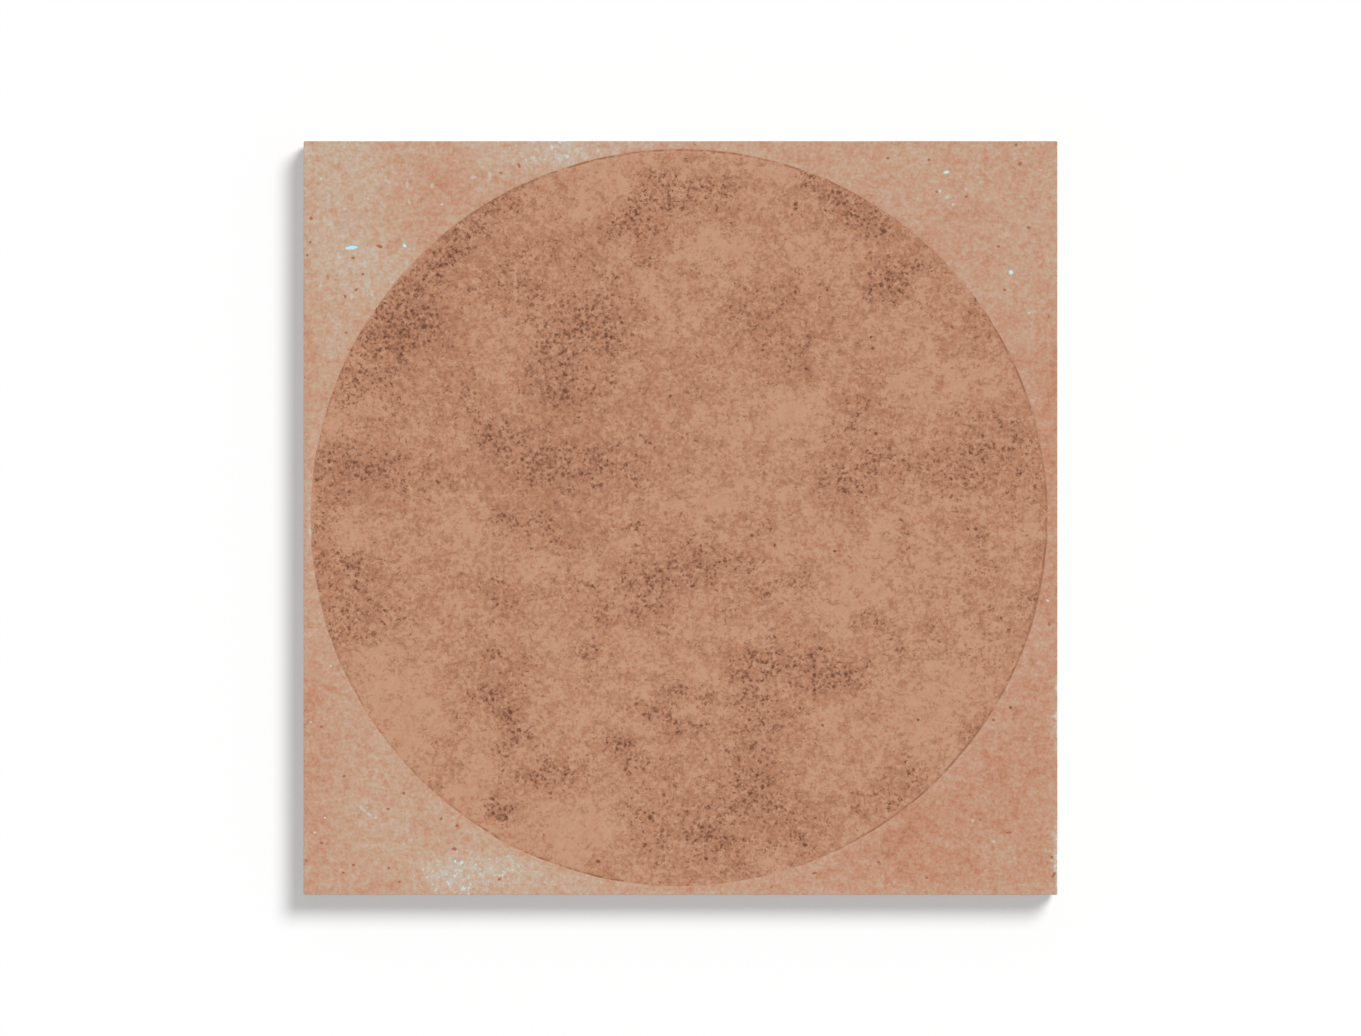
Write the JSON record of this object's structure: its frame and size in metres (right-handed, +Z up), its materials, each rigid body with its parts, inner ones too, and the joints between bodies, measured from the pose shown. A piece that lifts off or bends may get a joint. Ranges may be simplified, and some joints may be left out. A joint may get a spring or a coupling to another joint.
{
  "type": "terracotta floor tile",
  "caption": "Square fired-clay floor tile with a large disc drawn on its flat walking face, a fine rounded arris, slightly leaning lower sides and a back keyed with a lattice of low ribs.",
  "frame": {"origin": "middle of the back, on the plane that the back's ribs and border rest on", "axes": "+Z up through the walking face; +X and +Y along the tile's sides, +X to the right and +Y to the top of the picture"},
  "size_m": [0.2, 0.2, 0.01],
  "materials": {
    "terracotta": "matt unglazed fired clay, beige-pink with a tan disc and dark brown specks"
  },
  "bodies": {
    "root": {"tile": "terracotta"}
  },
  "joints": []
}
